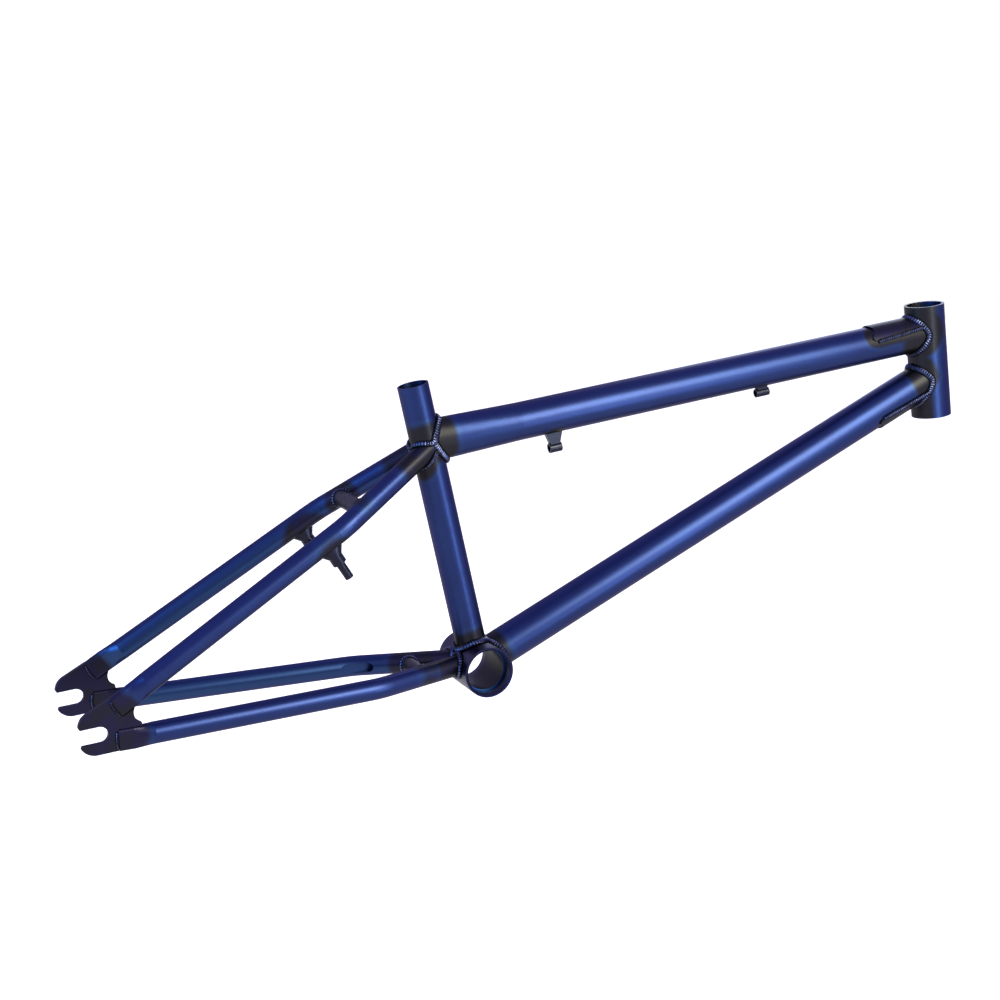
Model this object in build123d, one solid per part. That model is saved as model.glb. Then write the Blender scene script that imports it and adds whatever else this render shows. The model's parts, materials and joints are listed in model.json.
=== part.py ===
from build123d import *
import os
from math import cos, radians, sin

# Welded steel bicycle frame for 20 inch wheels, in millimetres and degrees.
# Origin: middle of the bottom bracket shell.  +X forward, +Y left, +Z up.
# Side-view places are (x, z) pairs on the middle plane.

# ---- overall layout ----
seat_angle = 70.35            # seat tube, from the ground line at its rear side
head_angle = 75.5             # head tube, from the ground line at its rear side
top_tube_slope = 15.06        # rise of the top tube towards the head tube
top_tube_length = 540.0       # seat tube axis to head tube axis
seat_joint_height = 217.3     # shell centre to top tube axis, along the seat tube
seat_top_margin = 53.5        # top tube axis to the seat tube mouth
head_tube_length = 112.5
head_top_margin = 28.2        # top tube axis to the upper end of the head tube
head_bottom_margin = 40.4     # down tube axis to the lower end of the head tube

# ---- main tubes ----
main_tube_radius = 17.46      # 34.9 mm top tube and down tube
main_tube_wall = 1.2
oval_height = 39.6            # top tube squeezed tall at the seat tube
oval_width = 26.8
oval_length = 90.0
seat_tube_radius = 14.3       # 28.6 mm
seat_tube_wall = 1.6          # leaves a 25.4 mm bore for the post
seat_post_depth = 130.0       # reamed for the post
seat_relief = 0.3             # tube's wall is thinner below that
head_tube_radius = 19.5
head_tube_wall = 3.1
headset_seat_step = 0.6       # seats for 34 mm press-in cups, beyond the bore
headset_seat_depth = 18.0

# ---- bottom bracket shell ----
shell_radius = 23.55
shell_width = 68.0
shell_wall = 4.75
bearing_seat_step = 1.8       # seats for 41.2 mm press-in bearings, beyond the bore
bearing_seat_depth = 11.5
shell_chamfer = 1.1

# ---- stays ----
stay_radius = 9.525           # 19 mm stays
stay_wall = 1.2
stay_bend_radius = 70.0
stay_tail_height = 19.6       # flattened tail, tall way
stay_tail_thickness = 7.4
stay_tail_corner = 3.0
stay_run_in = 6.0             # how far the stays' axes run on before they are cut
chain_stay_height = 0.2       # stay axis above shell centre at the shell's rear face
chain_stay_drop = 7.49        # stay axis below the axle
chain_stay_gap = 0.875        # middle plane to the stay's side at the shell
chain_stay_bend_x = -106.6
chain_stay_bend_y = 38.6
chain_tail_place = 46.2       # axle to where the round tube starts to flatten
chain_tail_inset = 3.42       # axis there, inside the dropout's middle
seat_stay_drop = 5.0          # stay axis below the top tube's, along the seat tube
seat_stay_rise = 13.7         # stay axis above the axle
seat_stay_gap = 2.775         # middle plane to the stay's side at the seat tube
seat_stay_bend_place = 202.2  # ahead of the axle
seat_stay_bend_y = 41.5
seat_tail_place = 36.2
seat_tail_inset = 2.26
tail_taper = 17.0             # length over which the tube goes flat
dimple_place = -106.0         # tyre dimple on the inner side of each chain stay
dimple_length = 29.0
dimple_height = 9.0
dimple_depth = 2.4
dimple_bow = 0.7              # the bent axis runs this far inside its corner

# ---- rear dropouts ----
axle_x = -357.2
axle_z = -49.1
slot_angle = 12.7             # slot rises forward
slot_width = 14.4
slot_reach = 15.6             # slot mouth behind the axle
hub_width = 110.0             # between the inner faces
dropout_thickness = 5.0
dropout_skirt = 17.0          # lower edge below the axle
nose_height = 19.4            # upper jaw's shoulder above the axle
nose_place = 9.2              # that shoulder behind the axle
crest = (12.4, 28.9)          # plate's highest corner, forward and up in the slot's frame
brow = (32.2, 17.6)           # its corner between the two stays
throat = (30.7, 9.6)          # deepest point of the hollow between the stays
chin = (36.0, 3.2)            # its corner above the chain stay
heel_place = 3.0              # lower edge starts this far behind the axle
jaw_round = (2.3, 4.6)        # upper jaw's rounded corner, inwards and down
heel_round = (4.2, 2.1)       # lower jaw's rounded corner, inwards and up
jaw_land = 2.0                # flat of each jaw's tip beyond the slot
jaw_lean = 1.2                # jaws reach this much further back beyond that flat
chain_tail_margin = 17.0      # axle to the chain stay tail, along the slot
seat_tail_margin = 24.1       # axle to the seat stay tail, in the stay's own direction

# ---- bridges ----
chain_bridge_gap = 36.95      # shell's rear face to the bridge's axis
chain_bridge_radius = 7.0
seat_bridge_place = 219.2     # ahead of the axle
seat_bridge_radius = 7.5
bridge_wall = 1.2
vent_length = 6.5             # slot sawn in the seat stay bridge
vent_width = 1.8
vent_depth = 3.0
vent_angle = 107.0            # side-view direction the slot faces
vent_offset = 16.0            # to the left of the middle

# ---- gussets ----
gusset_thickness = 1.6
gusset_scallop = 4.6          # depth of the waves in the rear edge
gusset_wave = 3.26            # deepest point of the upper wave, below the tube's crown
gusset_corner = (3.5, 3.1)    # rounded corner at the edge's rear end, forward and outwards
top_gusset_length = 72.5      # from the head tube axis along the tube
top_gusset_edge = 5.9         # edge's distance from the tube axis at its rear end
top_gusset_flare = 4.2        # and how much farther it is at the head tube
down_gusset_length = 78.5
down_gusset_edge = 6.6
down_gusset_flare = 3.0

# ---- brake bosses ----
boss_place = 185.3            # ahead of the axle, where the boss axis crosses the stay axis
boss_radius = 6.5
boss_height = 13.175          # collar face from the stay's surface
boss_foot_length = 25.0       # along the stay
boss_foot_width = 13.0
boss_foot_height = 5.975
boss_foot_sink = 2.38         # foot's edge wraps this far down the stay
stud_radius = 4.0
stud_length = 16.3
stud_thread_radius = 3.0      # M6
stud_thread_depth = 13.0
spring_hole_radius = 1.3
spring_hole_height = 8.075

# ---- cable fittings under the top tube ----
rear_stop_place = 124.8       # from the seat tube axis along the top tube
rear_stop_drop = 13.94        # barrel axis below the tube
rear_stop_radius = 4.6
rear_stop_length = 11.8
rear_stop_foot = 17.0
rear_stop_waist = 8.6
guide_place = 347.4
guide_drop = 5.74
guide_radius = 4.1
guide_length = 13.8
guide_foot = 11.6
guide_waist = 10.0
fitting_width = 5.6
fitting_sink = 1.05           # foot's edge wraps this far round the tube
fitting_neck = 0.5            # waist's height on the barrel, as a share of its radius
housing_bore = 3.05           # 5 mm cable housing with its ferrule
housing_seat_depth = 8.0
cable_bore = 1.2
guide_bore = 3.0

# ---- weld beads ----
main_bead = 3.0               # leg of the bead on the main joints
stay_bead = 2.6
bridge_bead = 2.2
gusset_bead = 1.5
gusset_bead_start = 5.0       # ahead of the gusset's rear end
dropout_bead = 1.3            # how far the bead stands out of the flattened tail
tail_bead_inset = 1.5         # its ends, inside the tail's edges
bead_gap = 0.1                # between the beads of a left and right pair
overrun = 40.0                # how far a cutting solid runs past its piece

SIDES = {"left": 1, "right": -1}


def heading(angle):
    """Unit vector in the side view at an angle above straight forward."""
    return Vector(cos(radians(angle)), 0, sin(radians(angle)))


def side_point(x, z, y=0.0):
    return Vector(x, y, z)


def rod(start, end, radius, start_extra=0.0, end_extra=0.0):
    """Solid round bar between two points, longer at its ends if asked."""
    along = (end - start).normalized()
    first = start - along * start_extra
    length = (end - start).length + start_extra + end_extra
    return extrude(Plane(origin=first, z_dir=along) * Circle(radius), length)


def largest(shape):
    return max(shape.solids(), key=lambda solid: solid.volume)


def mirrored(shape, side):
    return shape if side > 0 else mirror(shape, Plane.XZ)


# ---- axes and joints worked out from the layout ----
seat_axis = heading(180 - seat_angle)
head_axis = heading(180 - head_angle)
top_axis = heading(top_tube_slope)
shell_centre = Vector(0, 0, 0)
seat_joint = seat_axis * seat_joint_height
seat_top = seat_axis * (seat_joint_height + seat_top_margin)
head_joint = seat_joint + top_axis * top_tube_length
head_top = head_joint + head_axis * head_top_margin
head_bottom = head_top - head_axis * head_tube_length
down_joint = head_bottom + head_axis * head_bottom_margin
down_axis = (down_joint - shell_centre).normalized()
half_shell = Vector(0, shell_width / 2, 0)
slot_axis = heading(slot_angle)
axle = side_point(axle_x, axle_z)
dropout_middle = hub_width / 2 + dropout_thickness / 2
chain_start = side_point(axle_x, axle_z - chain_stay_drop)
chain_end = side_point(-shell_radius, chain_stay_height)
chain_axis = (chain_end - chain_start).normalized()
seat_stay_start = side_point(axle_x, axle_z + seat_stay_rise)
seat_stay_end = seat_axis * (seat_joint_height - seat_stay_drop)
seat_stay_axis = (seat_stay_end - seat_stay_start).normalized()
chain_stay_spacing = stay_radius + chain_stay_gap       # middle plane to the axis
seat_stay_spacing = stay_radius + seat_stay_gap
seat_stay_bend_x = axle_x + seat_stay_bend_place
seat_bridge_x = axle_x + seat_bridge_place
chain_bridge_x = -shell_radius - chain_bridge_gap
head_tube_bore = head_tube_radius - head_tube_wall
headset_seat_radius = head_tube_bore + headset_seat_step
shell_bore = shell_radius - shell_wall
bearing_seat_radius = shell_bore + bearing_seat_step


def chain_stay_z(x):
    return chain_end.Z + (x - chain_end.X) * chain_axis.Z / chain_axis.X


def seat_stay_z(x):
    return seat_stay_end.Z + (x - seat_stay_end.X) * seat_stay_axis.Z / seat_stay_axis.X


# ---- solid envelopes of the tubes, used to cut their neighbours ----
def top_tube_body(shrink=0.0):
    """Top tube's outside, or its bore when shrunk by the wall."""
    oval_plane = Plane(origin=seat_joint, x_dir=(0, 1, 0), z_dir=top_axis)
    round_start = seat_joint + top_axis * oval_length
    round_plane = Plane(origin=round_start, x_dir=(0, 1, 0), z_dir=top_axis)
    oval = oval_plane * Ellipse(oval_width / 2 - shrink, oval_height / 2 - shrink)
    ring = round_plane * Circle(main_tube_radius - shrink)
    tapered = loft([oval, ring])
    return tapered + rod(round_start, head_joint, main_tube_radius - shrink)


shell_body = rod(-half_shell, half_shell, shell_radius)
seat_body = rod(shell_centre, seat_top, seat_tube_radius)
head_body = rod(head_bottom, head_top, head_tube_radius)
down_body = rod(shell_centre, down_joint, main_tube_radius)
top_body = top_tube_body()


def head_tube():
    tube = head_body - rod(head_bottom, head_top, head_tube_bore, 1, 1)
    for end, way in ((head_bottom, 1), (head_top, -1)):
        inner = end + head_axis * headset_seat_depth * way
        tube -= rod(end, inner, headset_seat_radius, start_extra=1)
    return tube


def seat_tube():
    post_radius = seat_tube_radius - seat_tube_wall
    post_end = seat_top - seat_axis * seat_post_depth
    bore = rod(post_end, seat_top, post_radius, end_extra=1)
    bore += rod(shell_centre, post_end, post_radius + seat_relief)
    return largest(seat_body - shell_body - bore)


def top_tube():
    return largest(top_body - top_tube_body(main_tube_wall) - seat_body - head_body)


def down_tube():
    bore = rod(shell_centre, down_joint, main_tube_radius - main_tube_wall, 1, 1)
    return largest(down_body - bore - shell_body - head_body - seat_body)


def bottom_bracket_shell():
    shell = shell_body - rod(-half_shell, half_shell, shell_bore, 1, 1)
    for way in (1, -1):
        end = half_shell * way
        inner = end - Vector(0, bearing_seat_depth, 0) * way
        shell -= rod(inner, end, bearing_seat_radius, end_extra=1)
        mouth = Plane(origin=end, z_dir=(0, -way, 0))
        wide = mouth * Circle(bearing_seat_radius + shell_chamfer)
        narrow = mouth.offset(shell_chamfer) * Circle(bearing_seat_radius)
        shell -= loft([wide, narrow])
    return shell


# ---- stays, built for the left side and mirrored ----
def stay_points(height, knee_x, knee_y, touch_x, spacing, tail_place, tail_inset):
    """Axis points of a stay: its tail, its bend, and an end inside the tube that it meets."""
    tail_x = axle_x + tail_place
    front_x = touch_x + stay_run_in
    front_y = spacing + (knee_y - spacing) / (knee_x - touch_x) * stay_run_in
    return [Vector(tail_x, dropout_middle - tail_inset, height(tail_x)),
            Vector(knee_x, knee_y, height(knee_x)),
            Vector(front_x, front_y, height(front_x))]


def chain_stay_points():
    return stay_points(chain_stay_z, chain_stay_bend_x, chain_stay_bend_y, -shell_radius,
                       chain_stay_spacing, chain_tail_place, chain_tail_inset)


def seat_stay_points():
    """The stay's outer side dies out on the flank of the seat tube."""
    touch_x = seat_stay_end.X - seat_tube_radius
    tail, knee, front = stay_points(seat_stay_z, seat_stay_bend_x, seat_stay_bend_y, touch_x,
                                    seat_stay_spacing, seat_tail_place, seat_tail_inset)
    return [tail, knee, front + (front - knee).normalized() * seat_tube_radius]


def stay_path(points):
    return FilletPolyline(*points, radius=stay_bend_radius)


def stay_sweep(points, radius):
    path = stay_path(points)
    return sweep(Plane(origin=path @ 0, z_dir=path % 0) * Circle(radius), path=path)


def tail_plane(point, axis):
    return Plane(origin=point, x_dir=(0, 1, 0), z_dir=axis)


def stay_tail(points, axis, end):
    """Solid flattened tail: round tube, taper, then a flat tab up to its end face."""
    path = stay_path(points)
    flat_start = Vector(points[0].X, dropout_middle, points[0].Z) - axis * tail_taper
    ring = Plane(origin=path @ 0, x_dir=(0, 1, 0), z_dir=path % 0) * Circle(stay_radius)
    squeezed = RectangleRounded(stay_tail_thickness, stay_tail_height, stay_tail_corner)
    flat = tail_plane(flat_start, axis) * squeezed
    tab_length = (flat_start - end).length
    tab = extrude(flat, -tab_length)
    return loft([flat, ring]) + tab


def chain_tail_end():
    """Middle of the chain stay tab's end face."""
    base = axle + slot_axis * chain_tail_margin
    return Vector(base.X, dropout_middle, chain_stay_z(base.X))


def seat_tail_end():
    reach = (axle - seat_stay_start).dot(seat_stay_axis) + seat_tail_margin
    base = seat_stay_start + seat_stay_axis * reach
    return Vector(base.X, dropout_middle, base.Z)


def tyre_dimple(grow):
    """Oblong press mark on the inner side of the chain stay; grown, it shapes the bore."""
    floor_y = chain_stay_bend_y - dimple_bow - stay_radius + dimple_depth
    centre = Vector(dimple_place, floor_y - stay_radius, chain_stay_z(dimple_place))
    plane = Plane(origin=centre, x_dir=chain_axis, z_dir=(0, 1, 0))
    outline = SlotCenterToCenter(dimple_length - dimple_height, dimple_height + 2 * grow)
    return extrude(plane * outline, stay_radius + grow)


def chain_stay():
    points = chain_stay_points()
    outside = stay_sweep(points, stay_radius) - tyre_dimple(0)
    bore = stay_sweep(points, stay_radius - stay_wall) - tyre_dimple(stay_wall)
    tube = largest(outside - bore - shell_body)
    return tube + stay_tail(points, chain_axis, chain_tail_end())


def seat_stay():
    points = seat_stay_points()
    outside = stay_sweep(points, stay_radius)
    bore = stay_sweep(points, stay_radius - stay_wall)
    tube = largest(outside - bore - seat_body - top_body)
    return tube + stay_tail(points, seat_stay_axis, seat_tail_end())


# ---- dropouts ----
def dropout_outline():
    """Plate seen from the side, in the slot's own frame with the axle at the origin."""
    half = slot_width / 2
    tip = -slot_reach
    nose = (-nose_place, nose_height)
    heel = (-heel_place, -dropout_skirt)
    upper_tip = (tip - jaw_lean, half + jaw_land)
    lower_tip = (tip - jaw_lean, -half - jaw_land)
    plate = BuildSketch()
    with plate:
        with BuildLine():
            Line(crest, nose)
            ThreePointArc(nose, (upper_tip[0] + jaw_round[0], nose_height - jaw_round[1]), upper_tip)
            Line(upper_tip, (tip, half))
            Line((tip, half), (tip, -half))
            Line((tip, -half), lower_tip)
            ThreePointArc(lower_tip, (tip + heel_round[0], heel_round[1] - dropout_skirt), heel)
            Line(heel, (chin[0], -dropout_skirt))
            Line((chin[0], -dropout_skirt), chin)
            ThreePointArc(chin, throat, brow)
            Line(brow, crest)
        make_face()
    return plate.sketch - Pos(-overrun / 2, 0) * Rectangle(overrun, slot_width) - Circle(half)


def dropout():
    plane = Plane(origin=Vector(axle.X, dropout_middle, axle.Z), x_dir=slot_axis, z_dir=(0, -1, 0))
    plate = extrude(plane * dropout_outline(), dropout_thickness / 2, both=True)
    for axis, end in ((chain_axis, chain_tail_end()), (seat_stay_axis, seat_tail_end())):
        notch = tail_plane(end, axis) * Rectangle(2 * dropout_thickness, stay_tail_height)
        plate -= extrude(notch, overrun)
    return largest(plate)


# ---- bridges ----
def bridge(x, z, radius, cutter):
    ends = Vector(0, dropout_middle, 0)
    middle = side_point(x, z)
    tube = rod(middle - ends, middle + ends, radius)
    tube -= rod(middle - ends, middle + ends, radius - bridge_wall, 1, 1)
    for side in SIDES.values():
        tube -= mirrored(cutter, side)
    return min(tube.solids(), key=lambda solid: abs(solid.center().Y))


def chain_stay_bridge():
    cutter = stay_sweep(chain_stay_points(), stay_radius)
    return bridge(chain_bridge_x, chain_stay_z(chain_bridge_x), chain_bridge_radius, cutter)


def seat_stay_bridge():
    cutter = stay_sweep(seat_stay_points(), stay_radius)
    z = seat_stay_z(seat_bridge_x)
    tube = bridge(seat_bridge_x, z, seat_bridge_radius, cutter)
    facing = heading(vent_angle)
    crown = side_point(seat_bridge_x, z, vent_offset) + facing * (seat_bridge_radius - vent_depth / 2)
    plane = Plane(origin=crown, x_dir=(0, 1, 0), z_dir=facing)
    return tube - extrude(plane * Rectangle(vent_width, vent_length), overrun)


# ---- gussets ----
def gusset(axis, start, length, upward, reach, edge, flare):
    """Half-round doubler plate with a scalloped rear edge, in side view along its tube."""
    rear = length - reach
    top = main_tube_radius + 2 * gusset_thickness
    edge_end = edge + flare
    forward, outward = gusset_corner
    side = BuildSketch()
    with side:
        with BuildLine():
            Line((rear + forward, edge), (length, edge_end))
            Line((length, edge_end), (length, top))
            Line((length, top), (rear, top))
            Spline((rear, top), (rear + gusset_scallop, main_tube_radius - gusset_wave),
                   (rear, edge + outward), (rear + forward, edge))
        make_face()
    plane = Plane(origin=start, x_dir=axis, z_dir=(0, -upward, 0))
    blank = extrude(plane * side.sketch, overrun, both=True)
    end = start + axis * length
    sleeve = rod(start, end, main_tube_radius + gusset_thickness)
    sleeve -= rod(start, end, main_tube_radius, 1, 1)
    return largest((sleeve & blank) - head_body)


TOP_GUSSET = (top_axis, seat_joint, top_tube_length, 1,
              top_gusset_length, top_gusset_edge, top_gusset_flare)
DOWN_GUSSET = (down_axis, shell_centre, (down_joint - shell_centre).length, -1,
               down_gusset_length, down_gusset_edge, down_gusset_flare)


# ---- brake bosses ----
boss_axis = Vector(seat_stay_axis.Z, 0, -seat_stay_axis.X)


def boss_base():
    """Point on the stay's surface that the boss's heights count from."""
    tail, knee, _ = seat_stay_points()
    x = axle_x + boss_place
    y = tail.Y + (knee.Y - tail.Y) * (x - tail.X) / (knee.X - tail.X)
    return Vector(x, y, seat_stay_z(x)) + boss_axis * stay_radius


def brake_boss():
    base = boss_base()
    collar = rod(base, base + boss_axis * boss_height, boss_radius, start_extra=stay_radius)
    foot_plane = Plane(origin=base - boss_axis * boss_foot_sink, x_dir=seat_stay_axis,
                       z_dir=boss_axis)
    waist_plane = Plane(origin=base + boss_axis * boss_foot_height, x_dir=seat_stay_axis,
                        z_dir=boss_axis)
    foot = loft([foot_plane * Ellipse(boss_foot_length / 2, boss_foot_width / 2),
                 waist_plane * Circle(boss_radius)])
    body = largest(collar + foot - stay_sweep(seat_stay_points(), stay_radius))
    hole = base + boss_axis * spring_hole_height
    return body - rod(hole, hole - Vector(0, overrun, 0), spring_hole_radius)


def brake_stud():
    seat = boss_base() + boss_axis * boss_height
    tip = seat + boss_axis * stud_length
    stud = rod(seat, tip, stud_radius)
    return stud - rod(tip - boss_axis * stud_thread_depth, tip, stud_thread_radius, end_extra=1)


# ---- cable fittings ----
def fitting_body(place, drop, radius, length, foot, waist):
    """Barrel hung under the top tube on a waisted foot."""
    hang = heading(top_tube_slope - 90)
    crown = seat_joint + top_axis * place + hang * main_tube_radius
    middle = crown + hang * drop
    rear = middle - top_axis * length / 2
    front = middle + top_axis * length / 2
    barrel = rod(rear, front, radius)
    foot_plane = Plane(origin=crown - hang * fitting_sink, x_dir=top_axis, z_dir=hang)
    waist_plane = Plane(origin=middle - hang * radius * fitting_neck, x_dir=top_axis, z_dir=hang)
    post = loft([foot_plane * Rectangle(foot, fitting_width),
                 waist_plane * Rectangle(waist, fitting_width)])
    tube = rod(seat_joint, head_joint, main_tube_radius)
    return barrel + post - tube, rear, front


def rear_cable_stop():
    body, rear, front = fitting_body(rear_stop_place, rear_stop_drop, rear_stop_radius,
                                     rear_stop_length, rear_stop_foot, rear_stop_waist)
    body -= rod(rear, rear + top_axis * housing_seat_depth, housing_bore, start_extra=1)
    return largest(body - rod(rear, front, cable_bore, 1, 1))


def front_cable_guide():
    body, rear, front = fitting_body(guide_place, guide_drop, guide_radius, guide_length,
                                     guide_foot, guide_waist)
    return largest(body - rod(rear, front, guide_bore, 1, 1))


# ---- weld beads: metal of their own, lying on both pieces of each joint ----
def collar_bead(branch, branch_grown, main, main_grown, avoid=()):
    """Ring of weld around a branch where it meets a main tube."""
    ring = (branch_grown - branch) & (main_grown - main)
    for other in avoid:
        ring -= other
    return ring


def rod_bead(branch_ends, branch_radius, main_ends, main_radius, avoid=()):
    return collar_bead(rod(*branch_ends, branch_radius), rod(*branch_ends, branch_radius + main_bead),
                       rod(*main_ends, main_radius), rod(*main_ends, main_radius + main_bead), avoid)


def left_half(shape):
    """Part of a shape on the left of the middle plane, for a bead that has a twin."""
    wall = Plane(origin=Vector(0, bead_gap / 2, 0), z_dir=(0, 1, 0))
    reach = 3 * top_tube_length
    return largest(shape & extrude(wall * Rectangle(reach, reach), reach))


def twins(shape):
    """One bead on each side, kept as a group."""
    return Compound([shape, mirror(shape, Plane.XZ)])


def both_stays(points):
    """Solid envelopes of a left and right stay."""
    stay = stay_sweep(points, stay_radius)
    return [stay, mirror(stay, Plane.XZ)]


def stay_end_bead(points, main_ends, main_radius, avoid=()):
    ring = collar_bead(stay_sweep(points, stay_radius), stay_sweep(points, stay_radius + stay_bead),
                       rod(*main_ends, main_radius), rod(*main_ends, main_radius + stay_bead), avoid)
    return twins(left_half(ring))


def bridge_end_bead(x, z, radius, points):
    """Beads on the inner sides of the stays, ahead of their bends."""
    knee, front = points[1], points[2]
    stay_y = front.Y + (knee.Y - front.Y) * (x - front.X) / (knee.X - front.X)
    ends = (side_point(x, z), side_point(x, z, stay_y))
    ring = collar_bead(rod(*ends, radius), rod(*ends, radius + bridge_bead),
                       stay_sweep(points, stay_radius), stay_sweep(points, stay_radius + bridge_bead))
    return twins(largest(ring))


def gusset_edge_bead(axis, start, length, upward, reach, edge, flare, avoid=()):
    """Bead along the free edge of a gusset."""
    across = Vector(0, 1, 0)
    up = axis.cross(across) * upward
    ends = []
    for along, height in ((length - reach + gusset_bead_start, edge), (length, edge + flare)):
        lateral = (main_tube_radius ** 2 - height ** 2) ** 0.5
        ends.append(start + axis * along + up * height + across * lateral)
    line = rod(*ends, gusset_bead) - rod(start, start + axis * length, main_tube_radius, 1, 1)
    for other in [head_body, *avoid]:
        line -= other
    return twins(largest(line))


def tail_bead(end, axis, pieces):
    """Bead across both faces of the joint between a flattened tail and its dropout."""
    across = tail_plane(end, axis).y_dir
    reach = across * (stay_tail_height / 2 - tail_bead_inset)
    radius = stay_tail_thickness / 2 + dropout_bead
    line = rod(end - reach, end + reach, radius)
    for other in pieces:
        line -= other
    solids = sorted(line.solids(), key=lambda solid: -solid.volume)
    return solids[:2]


shell_ends = (-half_shell, half_shell)
seat_ends = (shell_centre, seat_top)
head_ends = (head_bottom, head_top)
top_ends = (seat_joint, head_joint)
down_ends = (shell_centre, down_joint)

frame = {
    "head_tube": head_tube(),
    "top_tube": top_tube(),
    "down_tube": down_tube(),
    "seat_tube": seat_tube(),
    "bottom_bracket_shell": bottom_bracket_shell(),
    "chain_stay_bridge": chain_stay_bridge(),
    "seat_stay_bridge": seat_stay_bridge(),
    "top_tube_gusset": gusset(*TOP_GUSSET),
    "down_tube_gusset": gusset(*DOWN_GUSSET),
    "rear_cable_stop": rear_cable_stop(),
    "front_cable_guide": front_cable_guide(),
}
paired = {
    "chain_stay": chain_stay(),
    "seat_stay": seat_stay(),
    "dropout": dropout(),
    "brake_boss": brake_boss(),
    "brake_stud": brake_stud(),
}
beads = {}
beads["weld_head_top_tube"] = rod_bead(top_ends, main_tube_radius, head_ends, head_tube_radius,
                                       [frame["top_tube_gusset"]])
beads["weld_head_down_tube"] = rod_bead(down_ends, main_tube_radius, head_ends, head_tube_radius,
                                        [frame["down_tube_gusset"], beads["weld_head_top_tube"]])
beads["weld_seat_top_tube"] = collar_bead(top_body, top_tube_body(-main_bead), seat_body,
                                          rod(*seat_ends, seat_tube_radius + main_bead),
                                          both_stays(seat_stay_points()))
beads["weld_shell_seat_tube"] = rod_bead(seat_ends, seat_tube_radius, shell_ends, shell_radius,
                                         [down_body, *both_stays(chain_stay_points())])
beads["weld_shell_down_tube"] = rod_bead(down_ends, main_tube_radius, shell_ends, shell_radius,
                                         [seat_body, beads["weld_shell_seat_tube"]])
beads["weld_shell_chain_stays"] = stay_end_bead(chain_stay_points(), shell_ends, shell_radius,
                                                [beads["weld_shell_seat_tube"]])
beads["weld_seat_stays"] = stay_end_bead(seat_stay_points(), seat_ends, seat_tube_radius,
                                         [top_body, beads["weld_seat_top_tube"]])
beads["weld_chain_stay_bridge"] = bridge_end_bead(
    chain_bridge_x, chain_stay_z(chain_bridge_x), chain_bridge_radius, chain_stay_points())
beads["weld_seat_stay_bridge"] = bridge_end_bead(
    seat_bridge_x, seat_stay_z(seat_bridge_x), seat_bridge_radius, seat_stay_points())
beads["weld_top_tube_gusset"] = gusset_edge_bead(
    *TOP_GUSSET, [frame["top_tube_gusset"], beads["weld_head_top_tube"]])
beads["weld_down_tube_gusset"] = gusset_edge_bead(
    *DOWN_GUSSET, [frame["down_tube_gusset"], beads["weld_head_down_tube"]])
tail_beads = []
for axis, end, stay_name in ((chain_axis, chain_tail_end(), "chain_stay"),
                             (seat_stay_axis, seat_tail_end(), "seat_stay")):
    tail_beads += tail_bead(end, axis, [paired["dropout"], paired[stay_name], *tail_beads])
paired["weld_dropout"] = Compound(tail_beads)
for name, shape in paired.items():
    for side_name, side in SIDES.items():
        frame[f"{name}_{side_name}"] = mirrored(shape, side)
frame.update(beads)

os.makedirs("parts", exist_ok=True)
for name, shape in frame.items():
    export_step(shape, f"parts/{name}.step")
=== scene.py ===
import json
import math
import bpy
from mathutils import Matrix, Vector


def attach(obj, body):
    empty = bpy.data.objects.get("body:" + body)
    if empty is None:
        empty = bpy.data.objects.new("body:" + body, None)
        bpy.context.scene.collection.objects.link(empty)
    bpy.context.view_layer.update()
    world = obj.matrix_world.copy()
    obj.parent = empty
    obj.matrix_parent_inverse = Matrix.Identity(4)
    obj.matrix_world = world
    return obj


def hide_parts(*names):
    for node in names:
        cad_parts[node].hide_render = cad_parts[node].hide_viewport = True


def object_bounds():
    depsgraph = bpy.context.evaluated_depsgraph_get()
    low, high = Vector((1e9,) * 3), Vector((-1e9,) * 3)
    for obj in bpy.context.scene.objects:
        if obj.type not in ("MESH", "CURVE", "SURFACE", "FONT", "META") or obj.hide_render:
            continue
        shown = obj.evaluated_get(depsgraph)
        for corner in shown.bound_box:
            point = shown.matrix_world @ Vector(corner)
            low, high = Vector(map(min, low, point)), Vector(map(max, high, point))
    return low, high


bl_info = {
    "name": "Welded Bicycle Frame Finishes",
    "version": (1, 0, 0),
    "blender": (4, 5, 0),
    "location": "View3D > Sidebar > Frame",
    "description": "Candy blue finish, weld beads and studio for a welded steel bicycle frame",
    "category": "Object",
}

import bpy
from mathutils import Matrix, Vector, noise

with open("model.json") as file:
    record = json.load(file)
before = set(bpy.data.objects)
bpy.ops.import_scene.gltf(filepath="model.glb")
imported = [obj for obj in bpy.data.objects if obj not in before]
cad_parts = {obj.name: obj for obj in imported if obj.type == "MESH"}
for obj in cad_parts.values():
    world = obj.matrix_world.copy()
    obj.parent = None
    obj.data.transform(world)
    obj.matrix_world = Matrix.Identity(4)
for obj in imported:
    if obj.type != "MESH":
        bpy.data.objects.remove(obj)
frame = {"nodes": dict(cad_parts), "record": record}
CAD_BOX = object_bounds()
MOUNTS = {mount["name"]: mount for mount in frame["record"]["mounts"]}
BODY = "root"
MM = 0.001


# ---------------------------------------------------------------- small helpers
def linear(hex_colour):
    """sRGB hex to a linear colour."""
    digits = hex_colour.lstrip("#")
    values = [int(digits[i:i + 2], 16) / 255 for i in (0, 2, 4)]
    return tuple(v / 12.92 if v <= 0.04045 else ((v + 0.055) / 1.055) ** 2.4 for v in values)


def rgba(colour):
    return (*colour[:3], 1.0)


def mount_point(name):
    return Vector(MOUNTS[name]["pos_m"])


def mount_axis(name):
    return Vector(MOUNTS[name]["axis"]).normalized()


def hanging(axis):
    """Direction square to an axis in the side view, pointing down."""
    return Vector((axis.z, 0, -axis.x))


def mirrored(point):
    return Vector((point.x, -point.y, point.z))


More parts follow.
